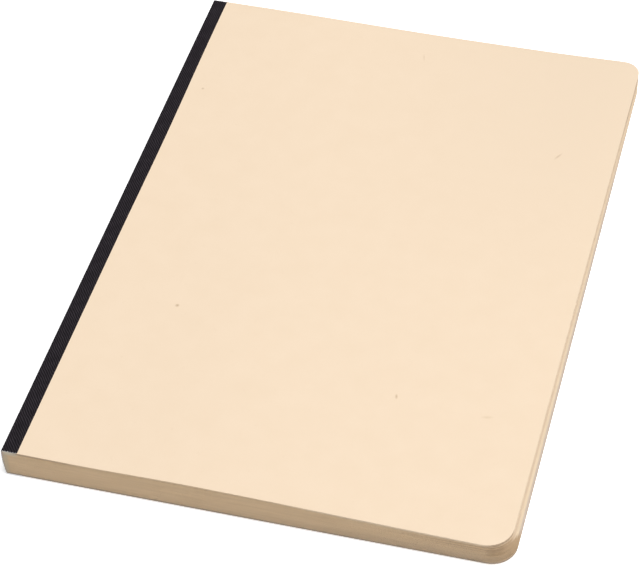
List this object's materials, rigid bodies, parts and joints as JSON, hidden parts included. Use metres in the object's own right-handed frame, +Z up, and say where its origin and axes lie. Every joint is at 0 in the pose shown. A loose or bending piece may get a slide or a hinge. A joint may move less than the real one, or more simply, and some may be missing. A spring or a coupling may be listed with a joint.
{
  "type": "composition notebook",
  "caption": "Thin A5 notebook with natural board covers cut flush with the leaves, rounded fore-edge corners and a black cloth tape round the spine. Both covers open.",
  "frame": {"origin": "middle of the footprint, on the surface that the closed book lies on", "axes": "+X from the spine to the fore edge, +Y from the tail to the head, +Z up through the front cover"},
  "size_m": [0.1496, 0.21, 0.0098],
  "materials": {
    "cover_board": "uncoated natural board",
    "leaves": "trimmed edges of uncoated paper",
    "binding_glue": "dried binding glue",
    "cloth_tape": "black woven book cloth"
  },
  "bodies": {
    "leaves": {"page_block": "leaves", "spine_glue": "binding_glue", "spine_tape": "cloth_tape"},
    "front_board": {"front_cover": "cover_board"},
    "back_board": {"back_cover": "cover_board"}
  },
  "joints": [
    {"name": "front_hinge", "type": "hinge", "parent": "leaves", "child": "front_board", "pos_m": [-0.07455, 0, 0.0098], "axis": [0, -1, 0], "range_deg": [0, 180], "deforming": ["spine_tape"]},
    {"name": "back_hinge", "type": "hinge", "parent": "leaves", "child": "back_board", "pos_m": [-0.07415, 0, 0], "axis": [0, 1, 0], "range_deg": [0, 180], "deforming": ["spine_tape"]}
  ]
}
